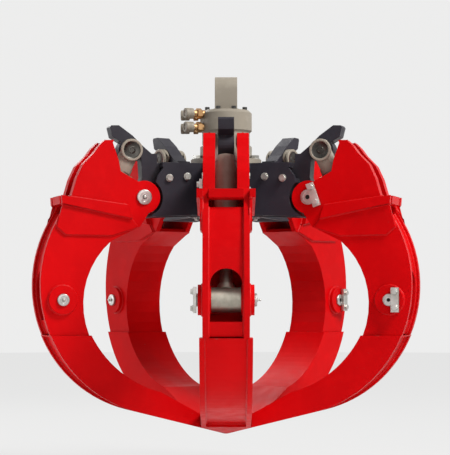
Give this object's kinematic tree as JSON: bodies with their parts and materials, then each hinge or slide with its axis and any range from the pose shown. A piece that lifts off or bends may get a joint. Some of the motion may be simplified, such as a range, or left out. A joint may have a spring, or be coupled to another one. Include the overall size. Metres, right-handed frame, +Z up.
{
  "type": "hydraulic scrap grab",
  "caption": "Hydraulic orange-peel grab: curved box-section tines swing on a hub under a rotator, each worked by its own cylinder inside the tine.",
  "frame": {"origin": "centre of the bore for the cross pin at the top of the rotator", "axes": "+X along the cross pin's bore, +Z up along the rotator's axis, -Y towards the front tine"},
  "size_m": [1.29, 1.2269, 1.2117],
  "materials": {
    "red_paint": "gloss paint",
    "point_paint": "gloss paint",
    "dark_paint": "satin paint",
    "grey_paint": "satin primer",
    "pin_steel": "machined",
    "zinc": "zinc plated",
    "chrome": "hard chromed",
    "bronze": "plain",
    "black_bolt": "blackened"
  },
  "bodies": {
    "rotator": {"rotator_housing": "grey_paint", "rotator_cap_screws": "black_bolt", "rotator_ports": "bronze"},
    "hub": {"rotor_flange": "grey_paint", "flange_bolts": "zinc", "hub_frame": "dark_paint", "hub_bushes": "bronze", "arm_bolts": "zinc", "hub_cup": "dark_paint"},
    "tine_0": {"tine_frame_0": "red_paint", "tine_point_0": "point_paint", "tine_pivot_pin_0": "pin_steel", "tine_rod_pin_0": "pin_steel", "tine_keepers_0": "zinc"},
    "rod_0": {"cylinder_rod_0": "chrome"},
    "barrel_0": {"cylinder_barrel_0": "grey_paint", "cylinder_ports_0": "bronze", "cylinder_base_pin_0": "pin_steel", "cylinder_gland_0": "zinc"},
    "tine_1": {"tine_frame_1": "red_paint", "tine_point_1": "point_paint", "tine_pivot_pin_1": "pin_steel", "tine_rod_pin_1": "pin_steel", "tine_keepers_1": "zinc"},
    "rod_1": {"cylinder_rod_1": "chrome"},
    "barrel_1": {"cylinder_barrel_1": "grey_paint", "cylinder_ports_1": "bronze", "cylinder_base_pin_1": "pin_steel", "cylinder_gland_1": "zinc"},
    "tine_2": {"tine_frame_2": "red_paint", "tine_point_2": "point_paint", "tine_pivot_pin_2": "pin_steel", "tine_rod_pin_2": "pin_steel", "tine_keepers_2": "zinc"},
    "rod_2": {"cylinder_rod_2": "chrome"},
    "barrel_2": {"cylinder_barrel_2": "grey_paint", "cylinder_ports_2": "bronze", "cylinder_base_pin_2": "pin_steel", "cylinder_gland_2": "zinc"},
    "tine_3": {"tine_frame_3": "red_paint", "tine_point_3": "point_paint", "tine_pivot_pin_3": "pin_steel", "tine_rod_pin_3": "pin_steel", "tine_keepers_3": "zinc"},
    "rod_3": {"cylinder_rod_3": "chrome"},
    "barrel_3": {"cylinder_barrel_3": "grey_paint", "cylinder_ports_3": "bronze", "cylinder_base_pin_3": "pin_steel", "cylinder_gland_3": "zinc"},
    "tine_4": {"tine_frame_4": "red_paint", "tine_point_4": "point_paint", "tine_pivot_pin_4": "pin_steel", "tine_rod_pin_4": "pin_steel", "tine_keepers_4": "zinc"},
    "rod_4": {"cylinder_rod_4": "chrome"},
    "barrel_4": {"cylinder_barrel_4": "grey_paint", "cylinder_ports_4": "bronze", "cylinder_base_pin_4": "pin_steel", "cylinder_gland_4": "zinc"}
  },
  "joints": [
    {"name": "rotate", "type": "hinge", "parent": "rotator", "child": "hub", "pos_m": [0, 0, -0.258], "axis": [0, 0, 1], "continuous": true},
    {"name": "open_0", "type": "hinge", "parent": "hub", "child": "tine_0", "pos_m": [0, -0.308, -0.376], "axis": [-1, 0, 0], "range_deg": [0, 60]},
    {"name": "rod_turn_0", "type": "hinge", "parent": "tine_0", "child": "rod_0", "pos_m": [0, -0.583, -0.716], "axis": [-1, 0, 0], "range_deg": [-10, 0]},
    {"name": "rod_slide_0", "type": "slide", "parent": "rod_0", "child": "barrel_0", "axis": [0, -0.4341, -0.9008], "range_m": [0, 0.142]},
    {"name": "open_1", "type": "hinge", "parent": "hub", "child": "tine_1", "pos_m": [0.29292, -0.09518, -0.376], "axis": [-0.309, -0.9511, 0], "range_deg": [0, 60]},
    {"name": "rod_turn_1", "type": "hinge", "parent": "tine_1", "child": "rod_1", "pos_m": [0.55447, -0.18016, -0.716], "axis": [-0.309, -0.9511, 0], "range_deg": [-10, 0]},
    {"name": "rod_slide_1", "type": "slide", "parent": "rod_1", "child": "barrel_1", "axis": [0.4129, -0.1342, -0.9008], "range_m": [0, 0.142]},
    {"name": "open_2", "type": "hinge", "parent": "hub", "child": "tine_2", "pos_m": [0.18104, 0.24918, -0.376], "axis": [0.809, -0.5878, 0], "range_deg": [0, 60]},
    {"name": "rod_turn_2", "type": "hinge", "parent": "tine_2", "child": "rod_2", "pos_m": [0.34268, 0.47166, -0.716], "axis": [0.809, -0.5878, 0], "range_deg": [-10, 0]},
    {"name": "rod_slide_2", "type": "slide", "parent": "rod_2", "child": "barrel_2", "axis": [0.2552, 0.3512, -0.9008], "range_m": [0, 0.142]},
    {"name": "open_3", "type": "hinge", "parent": "hub", "child": "tine_3", "pos_m": [-0.18104, 0.24918, -0.376], "axis": [0.809, 0.5878, 0], "range_deg": [0, 60]},
    {"name": "rod_turn_3", "type": "hinge", "parent": "tine_3", "child": "rod_3", "pos_m": [-0.34268, 0.47166, -0.716], "axis": [0.809, 0.5878, 0], "range_deg": [-10, 0]},
    {"name": "rod_slide_3", "type": "slide", "parent": "rod_3", "child": "barrel_3", "axis": [-0.2552, 0.3512, -0.9008], "range_m": [0, 0.142]},
    {"name": "open_4", "type": "hinge", "parent": "hub", "child": "tine_4", "pos_m": [-0.29292, -0.09518, -0.376], "axis": [-0.309, 0.9511, 0], "range_deg": [0, 60]},
    {"name": "rod_turn_4", "type": "hinge", "parent": "tine_4", "child": "rod_4", "pos_m": [-0.55447, -0.18016, -0.716], "axis": [-0.309, 0.9511, 0], "range_deg": [-10, 0]},
    {"name": "rod_slide_4", "type": "slide", "parent": "rod_4", "child": "barrel_4", "axis": [-0.4129, -0.1342, -0.9008], "range_m": [0, 0.142]}
  ],
  "couplings": [
    {"joint": "rod_turn_0", "follows": "open_0", "ratio": -0.1631},
    {"joint": "rod_slide_0", "follows": "open_0", "m_per_rad": 0.1341},
    {"joint": "rod_turn_1", "follows": "open_1", "ratio": -0.1631},
    {"joint": "rod_slide_1", "follows": "open_1", "m_per_rad": 0.1341},
    {"joint": "rod_turn_2", "follows": "open_2", "ratio": -0.1631},
    {"joint": "rod_slide_2", "follows": "open_2", "m_per_rad": 0.1341},
    {"joint": "rod_turn_3", "follows": "open_3", "ratio": -0.1631},
    {"joint": "rod_slide_3", "follows": "open_3", "m_per_rad": 0.1341},
    {"joint": "rod_turn_4", "follows": "open_4", "ratio": -0.1631},
    {"joint": "rod_slide_4", "follows": "open_4", "m_per_rad": 0.1341}
  ]
}
